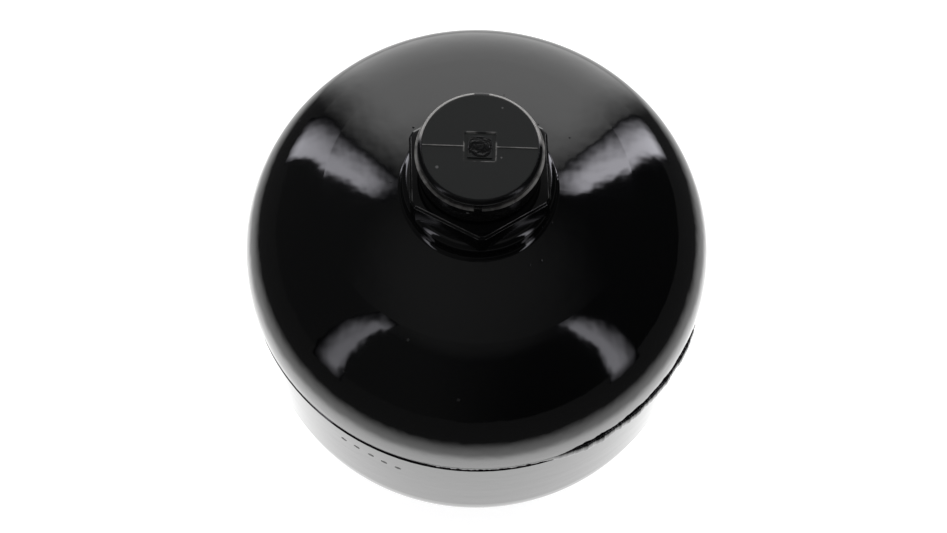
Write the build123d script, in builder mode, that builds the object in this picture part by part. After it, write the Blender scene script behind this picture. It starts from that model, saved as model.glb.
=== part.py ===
"""Welded diaphragm accumulator, port upwards, standing on the cap of its gas valve.

Nearly every piece is turned about Z. What lies near the girth seam is drawn in heights above
or below that seam, and the two fittings in heights from the flat pads that they are welded to.
Pieces that fit together take their radii from each other and a named wall or clearance.
"""
import os
from math import acos, asin, cos, degrees, radians, sin, sqrt

from build123d import *

# Shell: two deep-drawn halves, butt welded
shell_d = 150.0
wall = 6.5
crown_r = 150.0
knuckle_r = 40.0
pad_rim = 0.2
fluid_skirt = 1.8
gas_skirt = 43.0
spigot_d = 24.0

# Girth seam: a V groove, filled to a little below the surface
groove_depth = 2.6
groove_half = 1.5
weld_drop = 0.5
weld_crown = 0.25

# Two steel rings hold the diaphragm's rim in counterbores beside the seam
seat_wall = 4.6
fluid_seat = 6.0
ring_fit = 0.05
backing_w = 5.15
backing_end = 7.0
backing_round = 2.5
clamp_leg = 1.75
clamp_w = 6.85
clamp_base = 6.0
clamp_round = 1.5

# Diaphragm: a moulded cup with a rim bead and a thick centre
rubber = 2.0
rubber_gap = 0.3
bead_h = 5.0
bead_fit = 0.1
bead_round = 1.2
cup_bend = 12.0
centre_rim = 4.0
centre_thick = 7.0
centre_round = 2.0

# Closing button, moulded into the diaphragm's centre
button_d = 28.0
button_thick = 3.5
button_round = 1.0
stem_d = 8.0
stem_step = 2.5
stem_foot = 2.0

# Fluid port: a turned fitting with a milled hexagon
collar_margin = 0.3
collar_h = 6.5
collar_round = 2.2
hex_af = 41.0
hex_h = 7.3
hex_corner = 2.5
hex_edge = 0.65
hex_soft = 0.2
hex_turn = 33.65
neck_d = 33.0
neck_h = 10.4
neck_edge = 1.0
relief_depth = 1.2
relief_h = 1.6
spigot_fit = 0.05
port_thread_d = 18.63
port_thread_h = 15.0
port_mouth = 1.2
passage_d = 12.0
port_weld_leg = 0.9

# Hollow of both weld fillets, as a share of their leg
bead_hollow = 0.38

# Port cap: a moulded cap over the outside thread of the neck
cap_fit = 0.3
cap_top = 2.6
cap_inner_round = 0.6
cap_wall = 1.3
cap_draft = 0.2
cap_ring_w = 0.45
cap_ledge = 0.75
cap_ring_h = 0.8
cap_ring_drop = 3.3
cap_edge = 1.5
cap_lift = 1.2
back_notch_w = 4.4
front_notch_w = 2.3
front_notch_h = 4.0
notch_depth = 0.9
mark_size = 9.2
mark_depth = 0.4
mark_frame = 1.1
mark_corner = 0.6
rib_w = 0.3
rib_h = 0.15

# Gas boss: the charging thread on the underside
flange_step = 5.0
flange_h = 3.5
gas_thread_d = 28.0
gas_thread_h = 11.0
gas_edge = 1.0
head_gap = 0.4
head_bore_h = 6.0
gas_weld_leg = 3.0

# Charging screw and its seal
screw_d = 14.0
screw_fit = 0.05
screw_h = 11.0
screw_point = 1.5
head_rim = 0.95
head_h = 5.5
head_edge = 0.6
socket_af = 6.0
socket_h = 3.6
seal_step = 1.3
seal_size = 1.5
seal_side = 0.2
seal_round = 0.4

# Gas cap: the accumulator stands on it
foot_rim = 3.0
foot_h = 3.5
foot_edge = 0.5
skirt_wall = 2.7
skirt_h = 10.2
grip_count = 24
grip_d = 2.2
grip_bite = 0.55

# Heights above the floor, and radii that several pieces share
shell_r = shell_d / 2
seat_r = shell_r - seat_wall
ring_r = seat_r - ring_fit
backing_r = ring_r - backing_w
clamp_r = ring_r - clamp_w
bead_r = ring_r - clamp_leg - bead_fit
cup_r = backing_r - rubber_gap
centre_r = button_d / 2 + centre_rim
neck_r = neck_d / 2
spigot_r = spigot_d / 2
land_r = hex_af / 2 + hex_corner
collar_r = land_r + collar_margin
pad_r = collar_r + port_weld_leg + pad_rim
cap_bore_r = neck_r + cap_fit
cap_foot_r = cap_bore_r + cap_wall
cap_wall_r = cap_foot_r + cap_draft
cap_ring_r = cap_wall_r + cap_ring_w
cap_disc_r = cap_ring_r - cap_ledge
gas_thread_r = gas_thread_d / 2
flange_r = gas_thread_r + flange_step
seal_r = screw_d / 2 + seal_step
groove_w = seal_size + 2 * seal_side
head_r = seal_r + groove_w / 2 + head_rim
head_bore_r = head_r + head_gap
gas_cap_r = gas_thread_r + cap_fit
foot_r = gas_cap_r + skirt_wall + foot_rim
sag = crown_r - sqrt(crown_r**2 - pad_r**2)
crown_drop = sqrt((crown_r - knuckle_r) ** 2 - (shell_r - knuckle_r) ** 2)
dome_h = crown_r - crown_drop - sag
crown_tilt = degrees(asin((shell_r - knuckle_r) / (crown_r - knuckle_r)))
gas_pad_z = foot_h + gas_thread_h + flange_h
seam_z = gas_pad_z + dome_h + gas_skirt
fluid_pad_z = seam_z + fluid_skirt + dome_h
neck_z = fluid_pad_z + collar_h + hex_h
cap_z = neck_z + neck_h + cap_top
ring_top_z = cap_z - cap_ring_drop
bead_top = -backing_end
bead_foot = bead_top - bead_h
gas_seat = backing_end + bead_h + clamp_base
head_seat_z = foot_h + head_bore_h

# Section planes: X is the radius, Y the height away from the seam or the pad
above_seam = Plane(origin=(0, 0, seam_z), x_dir=(1, 0, 0), z_dir=(0, -1, 0))
below_seam = Plane(origin=(0, 0, seam_z), x_dir=(1, 0, 0), z_dir=(0, 1, 0))
above_pad = Plane(origin=(0, 0, fluid_pad_z), x_dir=(1, 0, 0), z_dir=(0, -1, 0))
below_pad = Plane(origin=(0, 0, gas_pad_z), x_dir=(1, 0, 0), z_dir=(0, 1, 0))


def corner(section, point):
    """Corner of a section that lies nearest to a point."""
    return section.vertices().sort_by_distance(point)[0]


def pad_edge(inset):
    """Radius where the flat pad meets the crown, on a surface set in from the outside."""
    return sqrt((crown_r - inset) ** 2 - (crown_r - sag - inset) ** 2)


def dome_line(inset, skirt, inner_r, stop_tilt):
    """Pad, crown and knuckle of a half shell, set in from the outside; returns the knuckle."""
    top = skirt + dome_h - inset
    tilt = degrees(asin(pad_edge(inset) / (crown_r - inset)))
    lean = (cos(radians(tilt)), -sin(radians(tilt)))
    pad = Line((inner_r, top), (pad_edge(inset), top))
    crown = JernArc(pad @ 1, lean, crown_r - inset, tilt - crown_tilt)
    return JernArc(crown @ 1, crown % 1, knuckle_r - inset, crown_tilt - stop_tilt)


def half_section(skirt, seat):
    """Section of a drawn half: bevel at the rim, counterbore, and the hole for a fitting."""
    rise = max(seat - skirt, 0.0)
    stop_tilt = degrees(acos(rise / (knuckle_r - wall)))
    with BuildSketch() as section:
        with BuildLine():
            outer = dome_line(0.0, skirt, spigot_r, 90.0)
            inner = dome_line(wall, skirt, spigot_r, stop_tilt)
            inner_r = (inner @ 1).X
            Line((spigot_r, skirt + dome_h), (spigot_r, skirt + dome_h - wall))
            Polyline(
                outer @ 1,
                (shell_r, groove_half),
                (shell_r - groove_depth, 0),
                (seat_r, 0),
                (seat_r, seat),
                (inner_r, seat),
            )
            if seat < skirt:
                Line((inner_r, seat), inner @ 1)
        make_face()
    return section.sketch


def fillet_section(radius, leg):
    """Section of a weld bead in the corner between a turned side and its pad."""
    hollow = leg * bead_hollow
    with BuildSketch() as section:
        with BuildLine():
            Polyline((radius, leg), (radius, 0), (radius + leg, 0))
            ThreePointArc((radius + leg, 0), (radius + hollow, hollow), (radius, leg))
        make_face()
    return section.sketch


os.makedirs("parts", exist_ok=True)

# Upper half of the shell, on the fluid side
with BuildPart() as fluid_shell:
    with BuildSketch(above_seam):
        add(half_section(fluid_skirt, fluid_seat))
    revolve(axis=Axis.Z)
fluid_shell.part.label = "fluid_shell"
export_step(fluid_shell.part, "parts/fluid_shell.step")

# Lower half of the shell, on the gas side
with BuildPart() as gas_shell:
    with BuildSketch(below_seam):
        add(half_section(gas_skirt, gas_seat))
    revolve(axis=Axis.Z)
gas_shell.part.label = "gas_shell"
export_step(gas_shell.part, "parts/gas_shell.step")

# Bead that fills the seam's groove
with BuildPart() as girth_weld:
    weld_half = groove_half * (1 - weld_drop / groove_depth)
    weld_r = shell_r - weld_drop
    with BuildSketch(above_seam):
        with BuildLine():
            Polyline((weld_r, weld_half), (shell_r - groove_depth, 0), (weld_r, -weld_half))
            ThreePointArc((weld_r, -weld_half), (weld_r + weld_crown, 0), (weld_r, weld_half))
        make_face()
    revolve(axis=Axis.Z)
girth_weld.part.label = "girth_weld"
export_step(girth_weld.part, "parts/girth_weld.step")

# Ring behind the seam, which shields the rubber and holds the rim bead from above
with BuildPart() as backing_ring:
    with BuildSketch(above_seam) as section:
        with Locations(((backing_r + ring_r) / 2, (fluid_seat - backing_end) / 2)):
            Rectangle(ring_r - backing_r, fluid_seat + backing_end)
        fillet(section.vertices().group_by(Axis.X)[0], backing_round)
    revolve(axis=Axis.Z)
backing_ring.part.label = "backing_ring"
export_step(backing_ring.part, "parts/backing_ring.step")

# Angle ring that clamps the rim bead from below
with BuildPart() as clamp_ring:
    with BuildSketch(above_seam) as section:
        with BuildLine():
            Polyline(
                (clamp_r, -gas_seat),
                (ring_r, -gas_seat),
                (ring_r, bead_top),
                (ring_r - clamp_leg, bead_top),
                (ring_r - clamp_leg, bead_foot),
                (clamp_r, bead_foot),
                close=True,
            )
        make_face()
        fillet(section.vertices().group_by(Axis.X)[0], clamp_round)
    revolve(axis=Axis.Z)
clamp_ring.part.label = "clamp_ring"
export_step(clamp_ring.part, "parts/clamp_ring.step")

# Diaphragm, pressed against the fluid dome by the gas
with BuildPart() as diaphragm:
    outer_inset = wall + rubber_gap
    inner_inset = outer_inset + rubber
    cup_top = fluid_skirt + dome_h - outer_inset
    pocket_r = button_d / 2 + rubber_gap
    pocket_z = fluid_skirt + dome_h - wall - button_thick
    stem_hole_r = stem_d / 2 + rubber_gap
    knuckle_x = shell_r - knuckle_r
    outer_stop = degrees(asin((cup_r - knuckle_x) / (knuckle_r - outer_inset)))
    inner_stop = degrees(asin((cup_r - rubber - knuckle_x) / (knuckle_r - inner_inset)))
    with BuildSketch(above_seam) as section:
        with BuildLine():
            outer = dome_line(outer_inset, fluid_skirt, pocket_r, outer_stop)
            inner = dome_line(inner_inset, fluid_skirt, centre_r, inner_stop)
            Polyline(
                outer @ 1,
                (cup_r, bead_top),
                (bead_r, bead_top),
                (bead_r, bead_foot),
                (cup_r - rubber, bead_foot),
                inner @ 1,
            )
            Polyline(
                (pocket_r, cup_top),
                (pocket_r, pocket_z),
                (stem_hole_r, pocket_z),
                (stem_hole_r, cup_top - centre_thick),
                (centre_r, cup_top - centre_thick),
                (centre_r, cup_top - rubber),
            )
        make_face()
        fillet(corner(section, outer @ 1), cup_bend + rubber)
        fillet(corner(section, inner @ 1), cup_bend)
        fillet(corner(section, (bead_r, bead_top)), bead_round)
        fillet(corner(section, (bead_r, bead_foot)), bead_round)
        fillet(corner(section, (cup_r - rubber, bead_foot)), bead_round)
        fillet(corner(section, (centre_r, cup_top - centre_thick)), centre_round)
    revolve(axis=Axis.Z)
diaphragm.part.label = "diaphragm"
export_step(diaphragm.part, "parts/diaphragm.step")

# Button that closes the port when the accumulator is empty of fluid
with BuildPart() as valve_button:
    button_z = fluid_pad_z - wall - button_thick
    foot_z = fluid_pad_z - wall - rubber_gap - centre_thick
    with BuildSketch(Plane.XY.offset(button_z)):
        Circle(button_d / 2)
    extrude(amount=button_thick)
    fillet(valve_button.faces().sort_by(Axis.Z)[-1].edges(), button_round)
    with BuildSketch(Plane.XY.offset(foot_z)):
        Circle(stem_d / 2)
    extrude(amount=button_z - foot_z)
    with BuildSketch(Plane.XY.offset(foot_z - stem_foot)):
        Circle(stem_d / 2 + stem_step)
    extrude(amount=stem_foot)
valve_button.part.label = "valve_button"
export_step(valve_button.part, "parts/valve_button.step")

# Fluid port: milled hexagon, turned collar, neck and spigot, then the bore
with BuildPart() as fluid_port:
    with BuildSketch(Plane.XY.offset(neck_z - hex_h - collar_round)):
        RegularPolygon(hex_af / 2, 6, major_radius=False, rotation=hex_turn)
        Circle(land_r, mode=Mode.INTERSECT)
    extrude(amount=collar_round + hex_h)
    chamfer(fluid_port.faces().sort_by(Axis.Z)[-1].edges(), hex_edge)
    fillet(fluid_port.edges().filter_by_position(Axis.Z, neck_z - hex_edge, neck_z), hex_soft)
    with BuildSketch(above_pad) as section:
        neck_foot = collar_h + hex_h
        neck_end = neck_foot + neck_h
        with BuildLine():
            Polyline(
                (0, -wall),
                (spigot_r - spigot_fit, -wall),
                (spigot_r - spigot_fit, 0),
                (collar_r, 0),
                (collar_r, collar_h - collar_round),
            )
            RadiusArc(
                (collar_r, collar_h - collar_round),
                (collar_r - collar_round, collar_h),
                -collar_round,
            )
            Polyline(
                (collar_r - collar_round, collar_h),
                (neck_r - relief_depth, collar_h),
                (neck_r - relief_depth, neck_foot + relief_h),
                (neck_r, neck_foot + relief_h + relief_depth),
                (neck_r, neck_end - neck_edge),
                (neck_r - neck_edge, neck_end),
                (0, neck_end),
                (0, -wall),
            )
        make_face()
    revolve(axis=Axis.Z)
    with BuildSketch(above_pad):
        with BuildLine():
            Polyline(
                (0, -wall),
                (passage_d / 2, -wall),
                (passage_d / 2, neck_end - port_thread_h),
                (port_thread_d / 2, neck_end - port_thread_h),
                (port_thread_d / 2, neck_end - port_mouth),
                (port_thread_d / 2 + port_mouth, neck_end),
                (0, neck_end),
                close=True,
            )
        make_face()
    revolve(axis=Axis.Z, mode=Mode.SUBTRACT)
fluid_port.part.label = "fluid_port"
export_step(fluid_port.part, "parts/fluid_port.step")

# Bead round the foot of the port's collar
with BuildPart() as port_weld:
    with BuildSketch(above_pad):
        add(fillet_section(collar_r, port_weld_leg))
    revolve(axis=Axis.Z)
port_weld.part.label = "port_weld"
export_step(port_weld.part, "parts/port_weld.step")

# Port cap: a disc, a thin ring with two notches, and a skirt over the neck
with BuildPart() as port_cap:
    with BuildSketch(Plane.XZ) as section:
        with BuildLine():
            Polyline(
                (0, cap_z),
                (cap_disc_r, cap_z),
                (cap_disc_r, ring_top_z),
                (cap_ring_r, ring_top_z),
                (cap_ring_r, ring_top_z - cap_ring_h),
                (cap_wall_r, ring_top_z - cap_ring_h),
                (cap_foot_r, neck_z + cap_lift),
                (cap_bore_r, neck_z + cap_lift),
                (cap_bore_r, cap_z - cap_top),
                (0, cap_z - cap_top),
                close=True,
            )
        make_face()
        fillet(corner(section, (cap_disc_r, cap_z)), cap_edge)
        fillet(corner(section, (cap_bore_r, cap_z - cap_top)), cap_inner_round)
    revolve(axis=Axis.Z)
    with BuildSketch(Plane.XY.offset(ring_top_z - cap_ring_h)):
        with Locations((0, cap_ring_r)):
            Rectangle(back_notch_w, 2 * notch_depth)
    extrude(until=Until.LAST, mode=Mode.SUBTRACT)
    with BuildSketch(Plane.XY.offset(ring_top_z - front_notch_h)):
        with Locations((0, -cap_ring_r)):
            Rectangle(front_notch_w, 2 * notch_depth)
    extrude(amount=front_notch_h, mode=Mode.SUBTRACT)
    with BuildSketch(Plane.XY.offset(cap_z)):
        RectangleRounded(mark_size, mark_size, mark_corner)
        offset(amount=-mark_frame, mode=Mode.SUBTRACT)
    extrude(amount=-mark_depth, mode=Mode.SUBTRACT)
    with BuildSketch(Plane.XY.offset(cap_z)):
        rib_end = cap_disc_r - cap_edge
        with GridLocations(rib_end + mark_size / 2, 0, 2, 1):
            Rectangle(rib_end - mark_size / 2, rib_w)
    extrude(amount=rib_h)
port_cap.part.label = "port_cap"
export_step(port_cap.part, "parts/port_cap.step")

# Gas boss: flange, outside thread, and a stepped bore for the charging screw
with BuildPart() as gas_boss:
    boss_end = flange_h + gas_thread_h
    with BuildSketch(below_pad):
        with BuildLine():
            Polyline(
                (screw_d / 2 + screw_fit, -wall),
                (spigot_r - spigot_fit, -wall),
                (spigot_r - spigot_fit, 0),
                (flange_r, 0),
                (flange_r, flange_h),
                (gas_thread_r, flange_h),
                (gas_thread_r, boss_end - gas_edge),
                (gas_thread_r - gas_edge, boss_end),
                (head_bore_r, boss_end),
                (head_bore_r, boss_end - head_bore_h),
                (screw_d / 2 + screw_fit, boss_end - head_bore_h),
                close=True,
            )
        make_face()
    revolve(axis=Axis.Z)
gas_boss.part.label = "gas_boss"
export_step(gas_boss.part, "parts/gas_boss.step")

# Bead round the flange of the gas boss
with BuildPart() as gas_boss_weld:
    with BuildSketch(below_pad):
        add(fillet_section(flange_r, gas_weld_leg))
    revolve(axis=Axis.Z)
gas_boss_weld.part.label = "gas_boss_weld"
export_step(gas_boss_weld.part, "parts/gas_boss_weld.step")

# Charging screw, with a hexagon socket below and a groove for its seal above the head
with BuildPart() as charging_screw:
    with BuildSketch(Plane.XY.offset(head_seat_z - head_h)):
        Circle(head_r)
    extrude(amount=head_h)
    chamfer(charging_screw.faces().sort_by(Axis.Z)[0].edges(), head_edge)
    with BuildSketch(Plane.XY.offset(head_seat_z)):
        Circle(screw_d / 2)
    extrude(amount=screw_h)
    chamfer(charging_screw.faces().sort_by(Axis.Z)[-1].edges(), screw_point)
    with BuildSketch(Plane.XY.offset(head_seat_z - seal_size)):
        Circle(seal_r + groove_w / 2)
        Circle(seal_r - groove_w / 2, mode=Mode.SUBTRACT)
    extrude(amount=seal_size, mode=Mode.SUBTRACT)
    with BuildSketch(Plane.XY.offset(head_seat_z - head_h)):
        RegularPolygon(socket_af / 2, 6, major_radius=False)
    extrude(amount=socket_h, mode=Mode.SUBTRACT)
charging_screw.part.label = "charging_screw"
export_step(charging_screw.part, "parts/charging_screw.step")

# Seal ring, squeezed between the groove and the boss
with BuildPart() as charging_seal:
    with BuildSketch(Plane.XZ):
        with Locations((seal_r, head_seat_z - seal_size / 2)):
            RectangleRounded(seal_size, seal_size, seal_round)
    revolve(axis=Axis.Z)
charging_seal.part.label = "charging_seal"
export_step(charging_seal.part, "parts/charging_seal.step")

# Gas cap: a gripped foot and a skirt over the charging thread
with BuildPart() as gas_cap:
    with BuildSketch(Plane.XY):
        Circle(foot_r)
        with PolarLocations(foot_r + grip_d / 2 - grip_bite, grip_count):
            Circle(grip_d / 2, mode=Mode.SUBTRACT)
    extrude(amount=foot_h)
    with BuildSketch(Plane.XY.offset(foot_h)):
        Circle(gas_cap_r + skirt_wall)
        Circle(gas_cap_r, mode=Mode.SUBTRACT)
    extrude(amount=skirt_h)
    chamfer(gas_cap.faces().sort_by(Axis.Z)[0].outer_wire().edges(), foot_edge)
gas_cap.part.label = "gas_cap"
export_step(gas_cap.part, "parts/gas_cap.step")
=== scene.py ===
"""Looks of a welded diaphragm accumulator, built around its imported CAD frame.

The two painted half shells, the girth weld between them, the painted fluid port under its plastic
cap, and the gas fitting with the cap that the accumulator stands on.
"""
from math import atan2, cos, pi, radians, sin, tan, tau

import bmesh
import bpy
from bpy.props import FloatProperty, FloatVectorProperty, IntProperty, PointerProperty
from mathutils import Matrix, Vector


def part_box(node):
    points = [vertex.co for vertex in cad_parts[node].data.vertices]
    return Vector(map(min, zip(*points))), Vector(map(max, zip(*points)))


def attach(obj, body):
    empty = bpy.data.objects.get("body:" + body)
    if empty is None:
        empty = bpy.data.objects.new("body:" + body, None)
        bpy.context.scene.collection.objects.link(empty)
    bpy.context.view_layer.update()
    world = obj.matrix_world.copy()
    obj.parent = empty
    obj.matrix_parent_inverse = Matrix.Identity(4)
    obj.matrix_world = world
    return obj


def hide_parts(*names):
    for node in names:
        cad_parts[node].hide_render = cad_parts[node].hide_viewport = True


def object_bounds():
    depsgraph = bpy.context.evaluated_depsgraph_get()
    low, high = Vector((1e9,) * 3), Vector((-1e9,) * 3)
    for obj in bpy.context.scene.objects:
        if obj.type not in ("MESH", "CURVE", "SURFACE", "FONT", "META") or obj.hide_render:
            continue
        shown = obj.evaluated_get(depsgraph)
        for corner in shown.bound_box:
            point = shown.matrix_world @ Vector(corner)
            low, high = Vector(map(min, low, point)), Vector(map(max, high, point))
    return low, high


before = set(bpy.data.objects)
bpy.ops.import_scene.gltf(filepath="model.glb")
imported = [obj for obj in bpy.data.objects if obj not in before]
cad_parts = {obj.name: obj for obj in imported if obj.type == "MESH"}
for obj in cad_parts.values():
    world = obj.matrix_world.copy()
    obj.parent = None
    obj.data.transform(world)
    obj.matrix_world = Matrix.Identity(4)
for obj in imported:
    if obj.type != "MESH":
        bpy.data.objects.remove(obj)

bl_info = {
    "name": "Diaphragm accumulator looks",
    "version": (1, 0, 0),
    "blender": (4, 5, 0),
    "location": "3D View > Sidebar > Accumulator",
    "description": "Paint, weld, threads, plastic and a studio for a welded diaphragm accumulator",
    "category": "Object",
}

MM = 0.001
PHOTO_W = 947
PHOTO_H = 533
SENSOR_W = 36.0

# Places that the part's boxes give
CAD_LOW, CAD_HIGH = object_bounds()
WELD_LOW, WELD_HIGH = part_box("girth_weld")
PORT_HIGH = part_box("fluid_port")[1]
SHELL_R = CAD_HIGH.x
SEAM_Z = (WELD_LOW.z + WELD_HIGH.z) / 2
COLLAR_R = PORT_HIGH.x
PORT_Z = PORT_HIGH.z
CAP_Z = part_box("port_cap")[1].z
BOSS_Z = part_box("gas_boss")[0].z
PAD_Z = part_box("fluid_shell")[1].z

# Sizes of the part that its boxes don't give
CROWN_R = 150 * MM
NECK_R = 16.5 * MM
NECK_H = 10.4 * MM
BORE_R = 9.315 * MM
BORE_H = 15 * MM
BOSS_R = 14 * MM
BOSS_H = 11 * MM
HEX_H = 7.3 * MM
HEX_HALF = 20.5 * MM
HEX_EDGE = 0.65 * MM
HEX_TURN = 33.65
DISC_R = 18.0 * MM
RING_DROP = 3.3 * MM
MARK_HALF = 4.6 * MM
RIB_H = 0.15 * MM

# Plain ends of the threads: at the tip of an outside one, and in the mouth of the inside one
TIP = 0.5 * MM
MOUTH = 1.2 * MM

# Distance within which the corners of a grown mesh are one corner
SAME_PLACE = 0.0005 * MM

# Mesh rows on one turn of a thread
THREAD_ROWS = 10

# Punch marks on the lower shell: turn from +X in degrees, and drop below the seam in mm
PUNCH_MARKS = ((-122.4, 10.2), (-118.6, 10.0), (-114.7, 10.7), (-111.2, 12.0), (-107.6, 12.8))

# Strip lamps: foot and head as degrees from the front and from the seam's height, and radiance
STRIPS = (
    ("Back right lamp", (135.0, -9.0), (141.0, 58.0), 3.8),
    ("Back left lamp", (-131.0, -9.0), (-137.0, 58.0), 2.8),
    ("Front right lamp", (59.0, -9.0), (65.0, 63.0), 1.6),
    ("Front left lamp", (-56.0, -9.0), (-60.0, 63.0), 1.25),
)

BLACK = (0.0, 0.0, 0.0)
WHITE = (1.0, 1.0, 1.0, 1.0)
LAMP_COLOUR = (0.93, 0.92, 1.0, 1.0)


# Node trees


class Value:
    """One output of a node; plain arithmetic on it adds math nodes."""

    def __init__(self, tree, socket):
        self.tree = tree
        self.socket = socket

    def math(self, operation, *others):
        """Work out a new value from this one and others."""
        return calculate(self.tree, operation, self, *others)

    def __add__(self, other):
        return self.math("ADD", other)

    def __sub__(self, other):
        return self.math("SUBTRACT", other)

    def __rsub__(self, other):
        return calculate(self.tree, "SUBTRACT", other, self)

    def __mul__(self, other):
        return self.math("MULTIPLY", other)

    def __truediv__(self, other):
        return self.math("DIVIDE", other)

    def __abs__(self):
        return self.math("ABSOLUTE")

    __radd__ = __add__


def plug(tree, value, socket):
    """Link a value or an output to a socket, or set the socket's own number."""
    if isinstance(value, Value):
        value = value.socket
    if isinstance(value, bpy.types.NodeSocket):
        tree.links.new(value, socket)
    else:
        socket.default_value = value


def add_node(tree, kind, inputs=None, **settings):
    """Add a node, set its properties, then its inputs."""
    node = tree.nodes.new(kind)
    for name, value in settings.items():
        setattr(node, name, value)
    for name, value in (inputs or {}).items():
        plug(tree, value, node.inputs[name])
    return node


def add_value(tree, kind, output, inputs=None, **settings):
    """Add a node and give one of its outputs."""
    return Value(tree, add_node(tree, kind, inputs, **settings).outputs[output])


def calculate(tree, operation, *numbers):
    """Add a math node and give its result."""
    return add_value(tree, "ShaderNodeMath", 0, dict(enumerate(numbers)), operation=operation)


def ramp(value, low, high, low_to=0.0, high_to=1.0):
    """Map a value smoothly from one range to another."""
    inputs = {"Value": value, "From Min": low, "From Max": high}
    inputs.update({"To Min": low_to, "To Max": high_to})
    smooth = {"interpolation_type": "SMOOTHSTEP"}
    return add_value(value.tree, "ShaderNodeMapRange", "Result", inputs, **smooth)


def clamp(value):
    """Keep a value between 0 and 1."""
    return add_value(value.tree, "ShaderNodeClamp", 0, {"Value": value})


def blend(factor, first, second):
    """Blend two numbers or values by a value."""
    return factor * (second - first) + first


def split(vector):
    """The three coordinates of a vector."""
    node = add_node(vector.tree, "ShaderNodeSeparateXYZ", {"Vector": vector})
    return [Value(vector.tree, node.outputs[axis]) for axis in "XYZ"]


def join(tree, x, y, z=0.0):
    """A vector from three coordinates."""
    return add_value(tree, "ShaderNodeCombineXYZ", 0, {"X": x, "Y": y, "Z": z})


def norm(place):
    """Length of a vector."""
    return add_value(place.tree, "ShaderNodeVectorMath", "Value", {0: place}, operation="LENGTH")


def from_axis(x, y):
    """Distance of a place from the Z axis."""
    return norm(join(x.tree, x, y))


def noise(place, scale, detail=2.0, seed=None):
    """Cloudy noise from 0 to 1, drawn anew for another seed."""
    inputs = {"Vector": place, "Scale": scale, "Detail": detail}
    if seed is None:
        return add_value(place.tree, "ShaderNodeTexNoise", "Fac", inputs)
    inputs["W"] = seed
    return add_value(place.tree, "ShaderNodeTexNoise", "Fac", inputs, noise_dimensions="4D")


def object_coords(tree):
    """Object coordinates of the surface."""
    return add_value(tree, "ShaderNodeTexCoord", "Object")


def mix_colour(factor, first, second):
    """Blend two colours by a value; each is three numbers or a node's colour."""
    tree = factor.tree
    node = add_node(tree, "ShaderNodeMix", {0: factor}, data_type="RGBA")
    for index, tone in ((6, first), (7, second)):
        plug(tree, tone if isinstance(tone, Value) else (*tone, 1.0), node.inputs[index])
    return Value(tree, node.outputs[2])


INPUT_KINDS = {
    float: "NodeSocketFloat",
    int: "NodeSocketInt",
    bpy.types.Material: "NodeSocketMaterial",
}


def new_group(name, inputs, kind="ShaderNodeTree"):
    """Start a node group from its inputs' names and defaults, and give it with its inputs."""
    group = bpy.data.node_groups.new(name, kind)
    for label, default in inputs.items():
        socket_type = INPUT_KINDS[type(default)]
        socket = group.interface.new_socket(label, in_out="INPUT", socket_type=socket_type)
        socket.default_value = default
    entry = group.nodes.new("NodeGroupInput")
    return group, {label: Value(group, entry.outputs[label]) for label in inputs}


def end_group(group, results, kind="NodeSocketFloat"):
    """Give a node group its outputs."""
    for label in results:
        group.interface.new_socket(label, in_out="OUTPUT", socket_type=kind)
    add_node(group, "NodeGroupOutput", results)
    return group


def use_group(tree, group, inputs=None):
    """Place a group in a material with its own values, and give its outputs by name."""
    node = add_node(tree, "ShaderNodeGroup", inputs, node_tree=group)
    return {socket.name: Value(tree, socket) for socket in node.outputs}


# Effects that several materials share


def film_group():
    """Height of a sprayed film: fine orange peel over long, slow waves."""
    group, source = new_group(
        "Sprayed film", {"Peel scale": 190.0, "Peel share": 0.2, "Wave scale": 60.0, "Drag": 0.4}
    )
    place = object_coords(group)
    inputs = {0: place, 1: join(group, 1.0, 1.0, source["Drag"])}
    dragged = add_value(group, "ShaderNodeVectorMath", 0, inputs, operation="MULTIPLY")
    waves = noise(dragged, source["Wave scale"])
    peel = noise(place, source["Peel scale"], 1.0)
    return end_group(group, {"Height": waves + peel * source["Peel share"]})


def dust_group():
    """Mask of scattered specks, sparse and of uneven size."""
    group, source = new_group("Dust specks", {"Scale": 500.0, "Size": 0.2, "Amount": 0.1})
    inputs = {"Vector": object_coords(group), "Scale": source["Scale"]}
    cells = add_node(group, "ShaderNodeTexVoronoi", inputs)
    near = Value(group, cells.outputs["Distance"]).math("LESS_THAN", source["Size"])
    drawn = add_value(group, "ShaderNodeSeparateColor", 0, {"Color": cells.outputs["Color"]})
    return end_group(group, {"Mask": near * drawn.math("LESS_THAN", source["Amount"])})


def turned_group():
    """Height of fine tool marks that run round the Z axis."""
    group, source = new_group("Turning marks", {"Pitch": 0.00015, "Wander": 0.3})
    place = object_coords(group)
    x, y, z = split(place)
    inputs = {"W": (from_axis(x, y) + z) / source["Pitch"], "Scale": 1.0}
    line = add_value(group, "ShaderNodeTexNoise", "Fac", inputs, noise_dimensions="1D")
    return end_group(group, {"Height": line + noise(place, 300.0) * source["Wander"]})


def grain_group():
    """Height of the fine grain of a moulded surface, and slow clouds over it."""
    group, source = new_group("Moulded grain", {"Scale": 2500.0, "Flow": 120.0})
    place = object_coords(group)
    grain = noise(place, source["Scale"], 3.0)
    return end_group(group, {"Height": grain, "Cloud": noise(place, source["Flow"])})


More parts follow.
